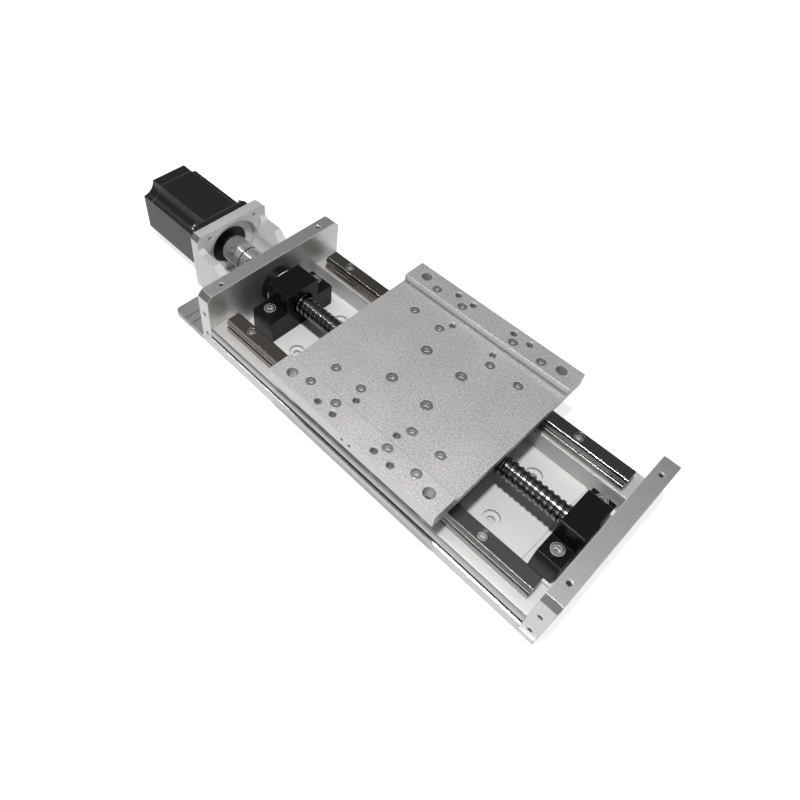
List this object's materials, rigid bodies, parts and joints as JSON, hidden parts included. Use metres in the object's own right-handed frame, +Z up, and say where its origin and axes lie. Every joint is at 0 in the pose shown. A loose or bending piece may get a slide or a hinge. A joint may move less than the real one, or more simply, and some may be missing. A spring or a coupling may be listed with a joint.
{
  "type": "ball screw linear module",
  "caption": "Motor-driven linear axis: a wide table on twin guide rails, moved by a ball screw in an aluminium channel base with end plates, screw supports and a coupled square motor.",
  "frame": {"origin": "middle of the base's underside, halfway between the inner faces of the two end plates", "axes": "+X along the screw away from the motor, +Y across the module to its rear side, +Z up"},
  "size_m": [0.495, 0.17, 0.0645],
  "materials": {
    "extruded_aluminium": "clear anodised, satin",
    "blasted_aluminium": "bead blasted and clear anodised",
    "cast_aluminium": "fine cast surface",
    "polished_aluminium": "polished",
    "rail_steel": "ground",
    "block_steel": "ground",
    "bearing_steel": "polished",
    "screw_steel": "plated",
    "black_oxide": "black, satin",
    "motor_black": "black, matt",
    "green_plastic": "moulded",
    "wiper_plastic": "moulded",
    "insert_plastic": "moulded",
    "brass": "turned"
  },
  "bodies": {
    "base": {"base_profile": "extruded_aluminium", "motor_end_plate": "blasted_aluminium", "free_end_plate": "blasted_aluminium", "end_plate_screws": "screw_steel", "front_rail": "rail_steel", "rear_rail": "rail_steel", "rail_screws": "screw_steel", "fixed_support_housing": "black_oxide", "fixed_support_cap": "black_oxide", "fixed_bearing_outer_rings": "bearing_steel", "fixed_support_screws": "screw_steel", "floating_support_housing": "black_oxide", "floating_bearing_outer_ring": "bearing_steel", "floating_support_circlip": "black_oxide", "floating_support_screws": "screw_steel", "motor_bracket": "cast_aluminium", "bracket_screws": "screw_steel", "motor_front_cover": "motor_black", "motor_stator": "motor_black", "motor_rear_cover": "motor_black", "motor_mount_screws": "screw_steel", "motor_bearing_outer_rings": "bearing_steel"},
    "screw_line": {"ball_screw": "rail_steel", "fixed_bearing_inner_rings": "bearing_steel", "floating_bearing_inner_ring": "bearing_steel", "bearing_balls": "bearing_steel", "screw_lock_nut": "black_oxide", "screw_shaft_circlip": "black_oxide", "coupling_motor_hub": "polished_aluminium", "coupling_screw_hub": "polished_aluminium", "coupling_insert": "insert_plastic", "coupling_clamp_screws": "screw_steel", "motor_shaft": "rail_steel", "motor_rotor": "rail_steel", "motor_bearing_inner_rings": "bearing_steel"},
    "carriage": {"table_plate": "blasted_aluminium", "front_block_motor_end": "block_steel", "front_block_free_end": "block_steel", "rear_block_motor_end": "block_steel", "rear_block_free_end": "block_steel", "front_caps_motor_end": "green_plastic", "front_caps_free_end": "green_plastic", "rear_caps_motor_end": "green_plastic", "rear_caps_free_end": "green_plastic", "grease_nipples": "brass", "block_screws": "screw_steel", "nut_housing": "blasted_aluminium", "nut_housing_screws": "screw_steel", "ball_nut": "block_steel", "nut_wipers": "wiper_plastic", "nut_flange_screws": "screw_steel"}
  },
  "joints": [
    {"name": "screw_spin", "type": "hinge", "parent": "base", "child": "screw_line", "pos_m": [0, 0, 0.03], "axis": [1, 0, 0], "range_deg": [-4896, 5904]},
    {"name": "table_slide", "type": "slide", "parent": "base", "child": "carriage", "axis": [1, 0, 0], "range_m": [-0.082, 0.068]}
  ],
  "couplings": [
    {"joint": "screw_spin", "follows": "table_slide", "rad_per_m": -1256.6}
  ]
}
